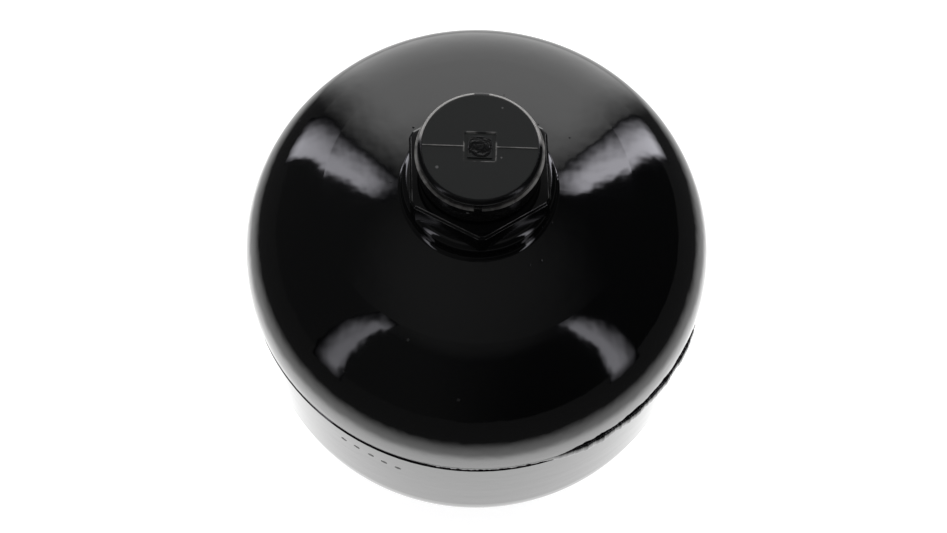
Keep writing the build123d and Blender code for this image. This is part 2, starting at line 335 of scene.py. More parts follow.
def cap_group():
    """Masks of the port cap: its flat top; a pale ledge that is partly moulding flash and partly
    painted highlight; a painted highlight on the rear of the top's rounded edge; the parting rib,
    pale as moulding flash and as painted highlight; and a painted highlight on the mark's rim.
    """
    group, source = new_group(
        "Port cap zones",
        {"Top": CAP_Z, "Disc radius": DISC_R, "Ledge drop": RING_DROP, "Mark half": MARK_HALF},
    )
    place = object_coords(group)
    x, y, z = split(place)
    down = source["Top"] - z
    inner = source["Disc radius"] - from_axis(x, y)
    disc = ramp(inner, 1.0 * MM, 1.8 * MM) * ramp(down, 1.2 * MM, 0.9 * MM)

    patch_noise = noise(place, 320.0)
    patchy = ramp(patch_noise, 0.35, 0.6, 0.45, 1.0)
    rim_breaks = ramp(patch_noise, 0.42, 0.58, 0.05, 1.0)

    # Pale ledge round the top: partly moulding flash, partly painted highlight, fainter in front
    outside = ramp(inner, 0.05 * MM, -0.05 * MM)
    level = ramp(abs(down - source["Ledge drop"]), 0.55 * MM, 0.35 * MM)
    fainter_in_front = ramp(y, -17.0 * MM, -6.0 * MM, 0.28, 0.7)
    ledge = outside * level * patchy * fainter_in_front

    # Painted highlight on the rear of the top's rounded edge, left out at the notch
    over = ramp(abs(down - 0.6 * MM), 0.48 * MM, 0.38 * MM)
    rounded = ramp(inner, 1.2 * MM, 0.9 * MM)
    rear = ramp(y, 0.5 * MM, 4.0 * MM)
    notch = ramp(abs(x), 2.0 * MM, 2.4 * MM)
    flash_and_highlight = ledge.math("MAXIMUM", over * rounded * rear * notch)

    # Parting rib: pale on its crest, as moulding flash and as painted highlight
    rib = ramp(down, RIB_H * 0.6, RIB_H * 0.2) * patchy * 0.42
    # Painted highlight along the mark's rim, broken up by noise
    from_rim = source["Mark half"] - abs(x).math("MAXIMUM", abs(y))
    rim = ramp(abs(from_rim), 0.32 * MM, 0.12 * MM) * rim_breaks
    return end_group(group, {"Disc": disc, "Flash and highlight": flash_and_highlight, "Rib": rib, "Rim": rim})


def hexagon_group():
    """Masks of the hexagon: its milled flats, and a painted highlight along its top edges, broken
    up by noise.
    """
    group, source = new_group(
        "Hexagon zones",
        {
            "Top": PORT_Z - NECK_H,
            "Height": HEX_H,
            "Half width": HEX_HALF,
            "Edge": HEX_EDGE,
            "Turn": radians(HEX_TURN),
        },
    )
    place = object_coords(group)
    x, y, z = split(place)
    edge = source["Edge"]
    to_corner = radians(30.0)
    folded = (y.math("ARCTAN2", x) - source["Turn"]).math("PINGPONG", to_corner)
    out = source["Half width"] - from_axis(x, y) * (to_corner - folded).math("COSINE")
    down = source["Top"] - z

    side = ramp(out, 0.1 * MM, 0.03 * MM)
    above_foot = ramp(down - source["Height"], 0.1 * MM, 0.0)
    below_edge = ramp(down, edge, edge + 0.2 * MM)

    # Painted highlight: a thin pale line along the hexagon's top edges, broken up by noise
    upper = abs(down) + abs(out - edge)
    lower = abs(out) + abs(down - edge)
    line = ramp(upper.math("MINIMUM", lower), 0.26 * MM, 0.1 * MM)
    patchy = ramp(noise(place, 260.0), 0.35, 0.6, 0.25, 1.0)
    return end_group(group, {"Flats": side * above_foot * below_edge, "Edges": line * patchy})


def marks_group():
    """Mask of the row of round punch marks on the lower shell."""
    group, source = new_group("Punch marks", {"Size": 1.1 * MM})
    place = object_coords(group)
    wobble = noise(place, 1500.0) * (0.5 * MM)
    mask = None
    for turned, drop in PUNCH_MARKS:
        angle = radians(turned)
        spot = (SHELL_R * cos(angle), SHELL_R * sin(angle), SEAM_Z - drop * MM)
        inputs = {0: place, 1: spot}
        away = add_value(group, "ShaderNodeVectorMath", "Value", inputs, operation="DISTANCE")
        mark = ramp(away + wobble - source["Size"], 0.35 * MM, 0.15 * MM)
        mask = mark if mask is None else mask.math("MAXIMUM", mark)
    return end_group(group, {"Mask": mask})


# Materials


def empty_tree(owner):
    """Give the empty node tree of a material or a world."""
    owner.use_nodes = True
    owner.node_tree.nodes.clear()
    return owner.node_tree


def new_material(name, constants):
    """Make a material with a Principled BSDF, and give it with its tree and its shader."""
    material = bpy.data.materials.new(name)
    tree = empty_tree(material)
    shader = add_node(tree, "ShaderNodeBsdfPrincipled", constants)
    add_node(tree, "ShaderNodeOutputMaterial", {"Surface": shader.outputs["BSDF"]})
    return material, tree, shader


def finish_surface(tree, shader, colour, rough, height, distance):
    """Give a shader its colour, its roughness and a normal from a height."""
    inputs = {"Height": height, "Strength": 1.0, "Distance": distance}
    normal = add_value(tree, "ShaderNodeBump", "Normal", inputs)
    plug(tree, colour, shader.inputs["Base Color"])
    plug(tree, rough, shader.inputs["Roughness"])
    plug(tree, normal, shader.inputs["Normal"])


def paint_material(name, groups, paint, wave_height, wave_scale, drag=1.0, detail=None):
    """Glossy black paint over steel; the film is dragged along Z where the metal was drawn."""
    material, tree, shader = new_material(name, {"IOR": paint.paint_ior})
    film = {"Wave scale": wave_scale, "Drag": drag, "Peel share": paint.peel_share}
    film_height = use_group(tree, groups["film"], film)["Height"]
    specks = {"Scale": 260.0, "Size": 0.12, "Amount": 0.012}
    dust = use_group(tree, groups["dust"], specks)["Mask"]
    colour = mix_colour(dust, paint.paint_colour, paint.dust_colour)
    smoothest, roughest = (0.12, 0.25) if detail == "dull" else (0.03, 0.07)
    rough = ramp(film_height, 0.3, 0.9, smoothest, roughest)
    height = film_height
    if detail == "hexagon":
        zones = use_group(tree, groups["hexagon"])
        # Painted highlight along the hexagon's top edges, lighter than the paint
        colour = mix_colour(zones["Edges"], colour, paint.edge_highlight_colour)
        rough = blend(zones["Flats"], rough, paint.flat_roughness)
    if detail == "rim":
        above = split(object_coords(tree))[2] - SEAM_Z
        ragged = above - film_height * MM
        burnt = ramp(ragged, paint.burnt_rim + 0.3 * MM, paint.burnt_rim - 0.3 * MM)
        rough = blend(burnt, rough, 0.5)
    if detail == "marks":
        marks = use_group(tree, groups["marks"])["Mask"]
        colour = mix_colour(marks, colour, BLACK)
        rough = blend(marks, rough, 0.6)
        height = film_height - marks * 6.0
    finish_surface(tree, shader, colour, rough, height, wave_height)
    return material


def plastic_material(name, groups, plastic, zoned=False):
    """Black moulded plastic; the port cap has a dull top, pale moulding flash with painted
    highlights on its ledge, rib and rear edge, a painted highlight on the mark's rim, and a rough
    mark.
    """
    material, tree, shader = new_material(name, {"IOR": plastic.plastic_ior})
    grain = use_group(tree, groups["grain"])
    specks = {"Scale": 330.0, "Size": 0.16, "Amount": 0.05}
    dust = use_group(tree, groups["dust"], specks)["Mask"]
    colour = mix_colour(dust, plastic.plastic_colour, plastic.dust_colour)
    low = plastic.plastic_roughness - plastic.roughness_spread
    high = plastic.plastic_roughness + plastic.roughness_spread
    rough = ramp(grain["Cloud"], 0.3, 0.7, low, high)
    if zoned:
        zones = use_group(tree, groups["cap"])
        top = mix_colour(dust, plastic.top_colour, plastic.dust_colour)
        colour = mix_colour(zones["Disc"], colour, top)
        # Painted highlight on the mark's rim; pale ledge, rib and rear edge are moulding flash with
        # painted highlights
        edged = zones["Rim"] * zones["Disc"] * 0.35
        pale = zones["Flash and highlight"].math("MAXIMUM", zones["Rib"])
        for mask in (edged, pale):
            colour = mix_colour(mask, colour, plastic.flash_and_highlight_colour)
        for mask in (zones["Disc"], pale):
            rough = blend(mask, rough, plastic.top_roughness)
    finish_surface(tree, shader, colour, rough, grain["Height"], plastic.grain_height)
    return material


def metal_material(name, groups, metal_colour, roughness, mark_height):
    """Turned or plated steel, with tool marks round its axis."""
    material, tree, shader = new_material(name, {"Metallic": 1.0})
    marks = use_group(tree, groups["turned"])["Height"]
    cloud = use_group(tree, groups["grain"], {"Flow": 180.0})["Cloud"]
    darker = [channel * 0.82 for channel in metal_colour]
    colour = mix_colour(ramp(cloud, 0.35, 0.65), darker, metal_colour)
    rough = ramp(cloud, 0.3, 0.7, roughness - 0.05, roughness + 0.08)
    finish_surface(tree, shader, colour, rough, marks, mark_height)
    return material


def rubber_material(name, groups, rubber):
    """Dull nitrile rubber with a faint bloom."""
    material, tree, shader = new_material(name, {"IOR": rubber.rubber_ior})
    skin = use_group(tree, groups["grain"], {"Scale": 1400.0, "Flow": 90.0})
    bloom = [channel * 1.7 for channel in rubber.rubber_colour]
    colour = mix_colour(ramp(skin["Cloud"], 0.3, 0.7), rubber.rubber_colour, bloom)
    rough = ramp(skin["Cloud"], 0.3, 0.7, 0.55, 0.72)
    finish_surface(tree, shader, colour, rough, skin["Height"], rubber.grain_height)
    return material


def make_materials(settings):
    """Build the shared effects and every material once, and give them by name."""
    groups = {
        "film": film_group(),
        "dust": dust_group(),
        "turned": turned_group(),
        "grain": grain_group(),
        "cap": cap_group(),
        "hexagon": hexagon_group(),
        "marks": marks_group(),
    }
    paint, plastic, metal = settings.paint, settings.plastic, settings.metal
    fine = paint.fitting_wave
    painted = {
        "dome": ("Gloss black, drawn dome", paint.dome_wave, 45.0, 1.0, "rim"),
        "wall": ("Gloss black, drawn wall", paint.wall_wave, 28.0, 5.0, "marks"),
        "fitting": ("Gloss black, turned fitting", fine, 120.0),
        "hexagon": ("Gloss black, milled port", fine, 120.0, 1.0, "hexagon"),
        "bead": ("Gloss black, weld", fine, 400.0),
        "seam": ("Black, girth weld", fine, 400.0, 1.0, "dull"),
    }
    made = {
        key: paint_material(name, groups, paint, *film) for key, (name, *film) in painted.items()
    }
    made["plastic"] = plastic_material("Black moulded plastic", groups, plastic)
    made["cap"] = plastic_material("Black moulded plastic, port cap", groups, plastic, zoned=True)
    made["steel"] = metal_material("Bright steel", groups, metal.steel_colour, 0.28, 0.01 * MM)
    made["zinc"] = metal_material("Zinc plating", groups, metal.zinc_colour, 0.33, 0.006 * MM)
    made["rubber"] = rubber_material("Nitrile rubber", groups, settings.rubber)
    return made


MATERIALS = {}


def materials(context):
    """The materials, built on first use."""
    if not MATERIALS:
        MATERIALS.update(make_materials(context.scene.accumulator))
    return MATERIALS


def dress(node, material):
    """Give a CAD node its material."""
    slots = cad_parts[node].data.materials
    if len(slots):
        for index in range(len(slots)):
            slots[index] = material
    else:
        slots.append(material)


# Meshes


def add_object(name, data):
    """Make an object and link it to the scene."""
    made = bpy.data.objects.new(name, data)
    bpy.context.scene.collection.objects.link(made)
    return made


def new_object(name, mesh, body, slot, *replaced):
    """Link a finished mesh, put it on its body and hide the CAD nodes that it replaces."""
    piece = add_object(name, mesh)
    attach(piece, body)
    if replaced:
        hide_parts(*replaced)


def merged_copy(node, move):
    """Copy a CAD node's mesh, merge its loose corners, and move its vertices by a rule."""
    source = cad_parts[node].data
    mesh = bpy.data.meshes.new(node + "_copy")
    corners = [tuple(vertex.co) for vertex in source.vertices]
    faces = [tuple(polygon.vertices) for polygon in source.polygons]
    mesh.from_pydata(corners, [], faces)
    shape = bmesh.new()
    shape.from_mesh(mesh)
    bmesh.ops.remove_doubles(shape, verts=shape.verts, dist=0.002 * MM)
    for vertex in shape.verts:
        vertex.co = move(vertex.co)
    bmesh.ops.dissolve_degenerate(shape, edges=shape.edges, dist=0.001 * MM)
    shape.to_mesh(mesh)
    shape.free()
    mesh.shade_smooth()
    mesh.set_sharp_from_angle(angle=radians(30.0))
    return mesh


def grown_mesh(tree, name, values):
    """Run a Geometry Nodes tree on an empty mesh and give its result as a plain mesh."""
    holder = add_object(name + "_holder", bpy.data.meshes.new(name + "_holder"))
    modifier = holder.modifiers.new(name, "NODES")
    modifier.node_group = tree
    for item in tree.interface.items_tree:
        if item.in_out == "INPUT":
            modifier[item.identifier] = values[item.name]
    graph = bpy.context.evaluated_depsgraph_get()
    mesh = bpy.data.meshes.new_from_object(holder.evaluated_get(graph))
    bpy.data.objects.remove(holder)
    shape = bmesh.new()
    shape.from_mesh(mesh)
    bmesh.ops.remove_doubles(shape, verts=shape.verts, dist=SAME_PLACE)
    bmesh.ops.recalc_face_normals(shape, faces=shape.faces)
    shape.to_mesh(mesh)
    shape.free()
    mesh.name = name
    return mesh


def end_tree(tree, geometry, source, merge=True):
    """End a tree: realise, merge, shade smooth and set the material."""
    whole = add_value(tree, "GeometryNodeRealizeInstances", 0, {"Geometry": geometry})
    if merge:
        inputs = {"Geometry": whole, "Distance": SAME_PLACE}
        whole = add_value(tree, "GeometryNodeMergeByDistance", 0, inputs)
    smooth = add_value(tree, "GeometryNodeSetShadeSmooth", 0, {"Geometry": whole})
    inputs = {"Geometry": smooth, "Material": source["Material"]}
    done = add_value(tree, "GeometryNodeSetMaterial", 0, inputs)
    return end_group(tree, {"Geometry": done}, "NodeSocketGeometry")


def set_place(geometry, place):
    """Move the points of a geometry."""
    inputs = {"Geometry": geometry, "Position": place}
    return add_value(geometry.tree, "GeometryNodeSetPosition", 0, inputs)


def ring_tree(name, values):
    """Start a tree that bends a grid into a ring; gives the share of the way round and across."""
    tree, source = new_group(name, values, "GeometryNodeTree")
    x, y, _ = split(add_value(tree, "GeometryNodeInputPosition", 0))
    return tree, source, x + 0.5, y + 0.5


def end_ring(tree, source, around, radius, height):
    """Bend the grid to the given radius and height, and end the tree."""
    inputs = {"Vertices X": source["Segments"], "Vertices Y": source["Rows"]}
    grid = add_value(tree, "GeometryNodeMeshGrid", 0, {"Size X": 1.0, "Size Y": 1.0, **inputs})
    angle = around * tau
    bent = join(tree, radius * angle.math("COSINE"), radius * angle.math("SINE"), height)
    return end_tree(tree, set_place(grid, bent), source)


def wave_noise(around, count, seed, detail=2.0):
    """Noise that runs round a ring without a seam, from -0.5 to 0.5."""
    angle = around * tau
    circle = join(around.tree, angle.math("COSINE"), angle.math("SINE"))
    return noise(circle, count, detail, seed) - 0.5


def bead_tree(values):
    """A weld bead: an oval section round the seam, rippled, with a raised and a low stretch."""
    tree, source, around, across = ring_tree("Weld bead", values)
    section = across * tau
    out, up = section.math("COSINE"), section.math("SINE")
    drift = wave_noise(around, 14.0, source["Seed"])
    lumps = wave_noise(around, 34.0, source["Seed"] + 7.0, 3.0)
    blobs = wave_noise(around, 11.0, source["Seed"] + 13.0)
    raised = ramp(abs(around - source["Raised centre"]) / source["Raised span"], 1.0, 0.6)
    low = ramp(abs(around - source["Low centre"]) / source["Low span"], 1.0, 0.4)
    phase = around * source["Ripples"] + drift * 3.0 + out * 0.35
    ripple = (phase * tau).math("COSINE") * source["Ripple depth"]
    depth = source["Half depth"] * (1.0 + ripple + lumps)
    grown = raised * (1.0 + blobs * source["Blobs"]) * source["Raised by"]
    radius = source["Radius"] + depth * out + (grown - low * source["Low by"])
    width = source["Half width"] * (1.0 + lumps + raised * 0.25)
    side = width * (up - source["Droop"] * out)
    height = source["Height"] + side + drift * source["Wander"]
    return end_ring(tree, source, around, radius, height)


def thread_tree(values):
    """A thread as a closed sleeve: helical rows between two end rows, over a plain inner wall."""
    tree, source, around, across = ring_tree("Thread sleeve", values)
    last = source["Rows"] - 1.0
    row = (across * last).math("ROUND")
    risen = clamp((row - 1.0) / (last - 3.0))
    is_last = row.math("GREATER_THAN", last - 0.5)
    from_wall_top = row.math("GREATER_THAN", last - 1.5)
    at_wall = row.math("LESS_THAN", 0.5).math("MAXIMUM", from_wall_top)
    run = source["Top"] - source["Bottom"]
    along = run * (risen * (1.0 - is_last))
    turns = along / source["Pitch"] - around
    saw = (turns + 4.0).math("FRACT")
    ridge = ramp(abs(saw * 2.0 - 1.0), 0.12, 0.88)
    fade = clamp(along.math("MINIMUM", run - along) / source["Fade"])
    outer = source["Root"] + (source["Crest"] - source["Root"]) * (ridge * fade)
    radius = outer + (source["Base"] - outer) * at_wall
    return end_ring(tree, source, around, radius, source["Bottom"] + along)


def nib_tree(values):
    """Small flattened beads on the crown of the upper shell, at random places round the port."""
    tree, source = new_group("Spatter nibs", values, "GeometryNodeTree")

    def chance(low, high, salt):
        """A random number per nib."""
        inputs = {2: low, 3: high, "Seed": source["Seed"] + salt}
        return add_value(tree, "FunctionNodeRandomValue", 1, inputs, data_type="FLOAT")

    inner, crown = source["Inner"], source["Crown"]
    angle = chance(0.0, tau, 1.0)
    outward = chance(0.0, 1.0, 2.0).math("POWER", 2.0)
    reach = outward * (source["Outer"] - inner) + inner
    here = (crown * crown - reach * reach).math("SQRT")
    at_pad = (crown * crown - inner * inner).math("SQRT")
    height = source["Pad"] + (here - at_pad)
    spot = join(tree, reach * angle.math("COSINE"), reach * angle.math("SINE"), height)
    points = add_value(tree, "GeometryNodePoints", 0, {"Count": source["Count"]})
    ball = add_value(tree, "GeometryNodeMeshIcoSphere", 0, {"Radius": 1.0, "Subdivisions": 3})
    wide = chance(source["Size"] * 0.4, source["Size"], 3.0)
    scale = join(tree, wide, wide, wide * 0.7)
    inputs = {"Points": set_place(points, spot), "Instance": ball, "Scale": scale}
    placed = add_value(tree, "GeometryNodeInstanceOnPoints", 0, inputs)
    return end_tree(tree, placed, source, merge=False)


def scar_tree(values):
    """A broken gate: a flat lump with a torn top, let into the cap's mark."""
    tree, source = new_group("Gate scar", values, "GeometryNodeTree")
    ball = add_value(tree, "GeometryNodeMeshIcoSphere", 0, {"Radius": 1.0, "Subdivisions": 6})
    place = add_value(tree, "GeometryNodeInputPosition", 0)
    x, y, z = split(place)
    torn = (noise(place, 2.2, 6.0, source["Seed"]) - 0.5) * 2.4
    broken = torn * source["Roughness"] + 0.55
    height = (z * source["Rise"] * broken + source["Height"]).math("MINIMUM", source["Limit"])

    def squared(value):
        """Push a round outline towards a square one."""
        return value.math("SIGN") * abs(value).math("POWER", 0.7) * (source["Width"] * 0.5)

    spot = join(tree, squared(x), squared(y), height)
    return end_tree(tree, set_place(ball, spot), source, merge=False)


def thread_values(crest, root, bottom, top, pitch, material):
    """Inputs of one thread sleeve; a root wider than the crest makes an inside thread."""
    return {
        "Segments": 97,
        "Rows": int((top - bottom) / pitch * THREAD_ROWS) + 4,
        "Crest": crest,
        "Root": root,
        "Base": root + (root - crest) * 0.25,
        "Pitch": pitch,
        "Bottom": bottom,
        "Top": top,
        "Fade": pitch * 0.8,
        "Material": material,
    }


def threaded_mesh(node, move, threads, material):
    """Copy a turned CAD node with its thread lands cut back, and lay the threads on them."""
    mesh = merged_copy(node, move)
    tree = thread_tree(threads[0])
    shape = bmesh.new()
    shape.from_mesh(mesh)
    for values in threads:
        sleeve = grown_mesh(tree, node + "_sleeve", values)
        shape.from_mesh(sleeve)
        bpy.data.meshes.remove(sleeve)
    for face in shape.faces:
        face.material_index = 0
        face.smooth = True
    shape.to_mesh(mesh)
    shape.free()
    mesh.materials.append(material)
    return mesh


def cut_back(lands):
    """Rule that moves vertices on cylindrical lands; each is (radius, low, high, new radius)."""

    def move(place):
        """Bring a vertex to its land's new radius."""
        reach = (place.x**2 + place.y**2) ** 0.5
        for radius, low, high, wanted in lands:
            if abs(reach - radius) < 0.05 * MM and low < place.z < high:
                share_of = wanted / reach
                return Vector((place.x * share_of, place.y * share_of, place.z))
        return place

    return move


# Sizes and colours that a user would change


def length(name, description, default):
    """A length property in metres."""
    return FloatProperty(
        name=name, description=description, default=default, subtype="DISTANCE", unit="LENGTH"
    )


def colour(name, description, default):
    """A colour property."""
    return FloatVectorProperty(
        name=name, description=description, default=default, subtype="COLOR", min=0.0, max=1.0
    )


def share(name, description, default, top=1.0):
    """A plain number."""
    return FloatProperty(name=name, description=description, default=default, min=0.0, max=top)


def turn(name, description, default):
    """An angle, given in degrees."""
    return FloatProperty(
        name=name, description=description, default=radians(default), subtype="ANGLE"
    )


class PaintSettings(bpy.types.PropertyGroup):
    """The gloss black paint on shells and fittings."""

    paint_colour: colour("Paint", "Colour of the paint", (0.0024, 0.0026, 0.0029))
    dust_colour: colour("Dust", "Colour of specks in the paint", (0.03, 0.03, 0.03))
    # Colour of the painted highlight along the hexagon's top edges
    edge_highlight_colour: colour("Edges", "Thin paint on the hexagon's edges", (0.09, 0.09, 0.088))
    flat_roughness: share("Flat roughness", "Roughness of the paint on the milled flats", 0.2)
    burnt_rim: length("Dull rim", "Height up to which the dome's paint is dull", 0.0015)
    paint_ior: share("Paint IOR", "Refraction of the gloss film", 1.8, 3.0)
    peel_share: share("Orange peel", "Ripple of the film against the long waves", 0.45)
    dome_wave: length("Dome waves", "Height of the waves on the domes", 0.00012)
    wall_wave: length("Wall waves", "Height of the drawing marks on the side", 0.00004)
    fitting_wave: length("Fitting waves", "Height of the film's waves on the fittings", 0.00001)


class PlasticSettings(bpy.types.PropertyGroup):
    """The black plastic of both caps."""

    plastic_colour: colour("Plastic", "Colour of the plastic", (0.005, 0.0052, 0.0055))
    top_colour: colour("Top", "Colour of the port cap's dull top", (0.0125, 0.014, 0.0132))
    # Colour of the moulding flash and of the painted highlights on the port cap
    flash_and_highlight_colour: colour("Flash and highlight", "Colour of the moulding flash", (0.52, 0.51, 0.49))
    dust_colour: colour("Dust", "Colour of the specks on it", (0.12, 0.12, 0.12))
    plastic_ior: share("IOR", "Refraction of the plastic", 1.5, 3.0)
    plastic_roughness: share("Roughness", "Middle roughness of the plastic", 0.17)
    roughness_spread: share("Roughness spread", "How far the roughness varies", 0.04)
    top_roughness: share("Top roughness", "Roughness of the port cap's dull top", 0.5)
    grain_height: length("Grain", "Height of the moulded grain", 0.000004)


class MetalSettings(bpy.types.PropertyGroup):
    """The bare and the plated steel."""

    steel_colour: colour("Steel", "Colour of the bare steel", (0.56, 0.56, 0.57))
    zinc_colour: colour("Zinc", "Colour of the zinc plating", (0.72, 0.73, 0.76))


class RubberSettings(bpy.types.PropertyGroup):
    """The diaphragm and the seal."""

    rubber_colour: colour("Rubber", "Colour of the rubber", (0.012, 0.012, 0.013))
    rubber_ior: share("IOR", "Refraction of the rubber", 1.52, 3.0)
    grain_height: length("Grain", "Height of the rubber's grain", 0.00003)


class WeldSettings(bpy.types.PropertyGroup):
    """The girth weld."""

    half_width: length("Half width", "Half the width of the bead", 0.0021)
    half_depth: length("Half depth", "Half the depth of the bead", 0.0008)
    sunk: length("Sunk", "How far the bead's middle lies under the shell's side", 0.0011)
    ripples: IntProperty(name="Ripples", description="Ripples round the seam", default=230, min=1)
    ripple_depth: share("Ripple depth", "Depth of the ripples, as a share of the bead's", 0.05)
    wander: length("Wander", "How far the bead strays up and down", 0.0006)
    raised_at: turn("Raised at", "Direction of the raised stretch, from +X towards +Y", -44.0)
    raised_span: turn("Raised span", "Half the angle of the raised stretch", 30.0)
    raised_by: length("Raised by", "How far the raised stretch stands out", 0.0013)
    low_at: turn("Low at", "Direction of the low stretch, from +X towards +Y", -132.0)
    low_span: turn("Low span", "Half the angle of the low stretch", 40.0)
    low_by: length("Low by", "How much deeper the low stretch lies", 0.0006)
    droop: share("Droop", "How far the bead's crest hangs, as a share of its half width", 0.2)
    blobs: share("Blobs", "How uneven the raised stretch is", 1.1, 3.0)
    seed: IntProperty(name="Seed", description="Fixed seed of the irregularities", default=3)


class ThreadSettings(bpy.types.PropertyGroup):
    """The three threads."""

    neck_pitch: length("Neck pitch", "Pitch of the neck's outside thread", 0.0015)
    port_pitch: length("Port pitch", "Pitch of the port's inside thread", 0.001814)
    gas_pitch: length("Gas pitch", "Pitch of the charging thread", 0.0015)
    depth_share: share("Depth", "Depth of the outside threads as a share of their pitch", 0.6)
    inside_share: share("Inside depth", "Depth of the inside thread as a share of its pitch", 0.6)
    relief: length("Relief", "Plain run at the foot of an outside thread", 0.0028)


class NibSettings(bpy.types.PropertyGroup):
    """Nibs of weld spatter under the paint."""

    count: IntProperty(name="Count", description="How many nibs", default=16, min=0)
    gap: length("Gap", "Distance of the first nibs from the collar", 0.0014)
    reach: length("Reach", "Radius within which the nibs lie", 0.034)
    size: length("Size", "Radius of the largest nib", 0.0004)
    seed: IntProperty(name="Seed", description="Fixed seed of the places", default=5)


class ScarSettings(bpy.types.PropertyGroup):
    """The broken gate in the port cap's square mark."""

    width: length("Width", "Width of the rough patch", 0.0072)
    rise: length("Rise", "Half the thickness of the patch", 0.00024)
    roughness: share("Roughness", "How broken the patch is", 1.0, 3.0)
    sunk: length("Sunk", "Depth of its middle under the cap's top", 0.00006)
    seed: IntProperty(name="Seed", description="Fixed seed of its shape", default=4)


class StageSettings(bpy.types.PropertyGroup):
    """The floor, the lamps and the camera."""

    floor_colour: colour("Floor", "Colour of the floor", (0.8, 0.8, 0.8))
    floor_size: length("Floor size", "Width of the floor", 12.0)
    floor_gap: length("Floor gap", "How far the floor lies under the foot", 0.00005)
    white_share: share("White share", "How much white the floor shows of itself", 0.86)
    near_floor: share("Near floor", "Brightness of the floor at the object's foot", 1.7, 10.0)
    sheet_radius: length("Sheet radius", "Distance of the white sheet's edge", 0.325)
    room_floor: share("Room floor", "Brightness of the floor beyond the sheet", 0.045, 10.0)
    back_light: share("Backdrop", "Brightness of the white paper behind", 1.1, 10.0)
    left_wall: share("Left wall", "Brightness of the room on the left", 0.034)
    right_wall: share("Right wall", "Brightness of the room on the right", 0.008)
    ceiling: share("Ceiling", "Brightness of the ceiling", 0.06)
    top_light: share("Top lamp", "Brightness of the soft lamp overhead", 0.9, 10.0)
    top_height: length("Top lamp height", "Height of the soft lamp", 1.6)
    top_size: length("Top lamp size", "Width of the soft lamp", 1.6)
    lamp_distance: length("Lamp distance", "Distance of the strip lamps from the axis", 0.9)
    strip_width: length("Strip width", "Width of a strip lamp", 0.22)
    camera_distance: length("Camera distance", "Camera to the middle of the seam", 0.50414)
    camera_elevation: turn("Camera elevation", "Camera above the seam", 66.49)
    camera_roll: turn("Camera roll", "Turn of the picture", -1.9)
    camera_focal: share("Camera focal length", "Focal length in pixels", 1537.6, 5000.0)
    aim_x: share("Aim across", "Pixel across at which the seam's middle shows", 476.68, 2000.0)
    aim_y: share("Aim down", "Pixel down at which the seam's middle shows", 247.87, 2000.0)


class AccumulatorSettings(bpy.types.PropertyGroup):
    """All settings of the accumulator's looks."""

    paint: PointerProperty(type=PaintSettings)
    plastic: PointerProperty(type=PlasticSettings)
    metal: PointerProperty(type=MetalSettings)
    rubber: PointerProperty(type=RubberSettings)
    weld: PointerProperty(type=WeldSettings)
    thread: PointerProperty(type=ThreadSettings)
    nibs: PointerProperty(type=NibSettings)
    scar: PointerProperty(type=ScarSettings)
    stage: PointerProperty(type=StageSettings)


# Operators


class ACCUMULATOR_OT_shells(bpy.types.Operator):
    """Paint the two half shells"""

    bl_idname = "accumulator.shells"
    bl_label = "Half shells"

    def execute(self, context):
        made = materials(context)
        dress("fluid_shell", made["dome"])
        dress("gas_shell", made["wall"])
        return {"FINISHED"}


class ACCUMULATOR_OT_girth_weld(bpy.types.Operator):
    """Lay the girth weld in the seam's groove"""

    bl_idname = "accumulator.girth_weld"
    bl_label = "Girth weld"

    def execute(self, context):
        made = materials(context)
        weld = context.scene.accumulator.weld
        values = {
            "Segments": 2881,
            "Rows": 15,
            "Radius": SHELL_R - weld.sunk,
            "Height": SEAM_Z,
            "Half width": weld.half_width,
            "Half depth": weld.half_depth,
            "Ripples": float(weld.ripples),
            "Ripple depth": weld.ripple_depth,
            "Wander": weld.wander,
            "Raised centre": (weld.raised_at % tau) / tau,
            "Raised span": weld.raised_span / tau,
            "Raised by": weld.raised_by,
            "Low centre": (weld.low_at % tau) / tau,
            "Low span": weld.low_span / tau,
            "Low by": weld.low_by,
            "Droop": weld.droop,
            "Blobs": weld.blobs,
            "Seed": float(weld.seed),
            "Material": made["seam"],
        }
        mesh = grown_mesh(bead_tree(values), "girth_weld_bead", values)
        new_object("girth_weld_bead", mesh, "vessel", "gloss_black_paint", "girth_weld")
        return {"FINISHED"}


class ACCUMULATOR_OT_port(bpy.types.Operator):
    """Paint the fluid port"""

    bl_idname = "accumulator.port"
    bl_label = "Fluid port"

    def execute(self, context):
        made = materials(context)
        thread = context.scene.accumulator.thread
        end = PORT_Z
        foot = end - NECK_H + thread.relief
        neck_root = NECK_R - thread.neck_pitch * thread.depth_share
        bore_root = BORE_R + thread.port_pitch * thread.inside_share
        deep = end - BORE_H
        lands = cut_back(((NECK_R, foot - MM, end, neck_root), (BORE_R, deep - MM, end, bore_root)))
        black = made["hexagon"]
        threads = (
            thread_values(NECK_R, neck_root, foot, end - TIP, thread.neck_pitch, black),
            thread_values(BORE_R, bore_root, deep, end - MOUTH, thread.port_pitch, black),
        )
        mesh = threaded_mesh("fluid_port", lands, threads, black)
        new_object("fluid_port_threaded", mesh, "vessel", "gloss_black_paint", "fluid_port")
        dress("port_weld", made["bead"])
        return {"FINISHED"}


class ACCUMULATOR_OT_nibs(bpy.types.Operator):
    """Scatter small nibs of weld spatter under the paint round the port"""

    bl_idname = "accumulator.nibs"
    bl_label = "Spatter nibs"

    def execute(self, context):
        made = materials(context)
        nibs = context.scene.accumulator.nibs
        values = {
            "Count": nibs.count,
            "Inner": COLLAR_R + nibs.gap,
            "Outer": nibs.reach,
            "Size": nibs.size,
            "Crown": CROWN_R,
            "Pad": PAD_Z,
            "Seed": nibs.seed,
            "Material": made["bead"],
        }
        mesh = grown_mesh(nib_tree(values), "paint_nibs", values)
        new_object("paint_nibs", mesh, "vessel", "gloss_black_paint")
        return {"FINISHED"}


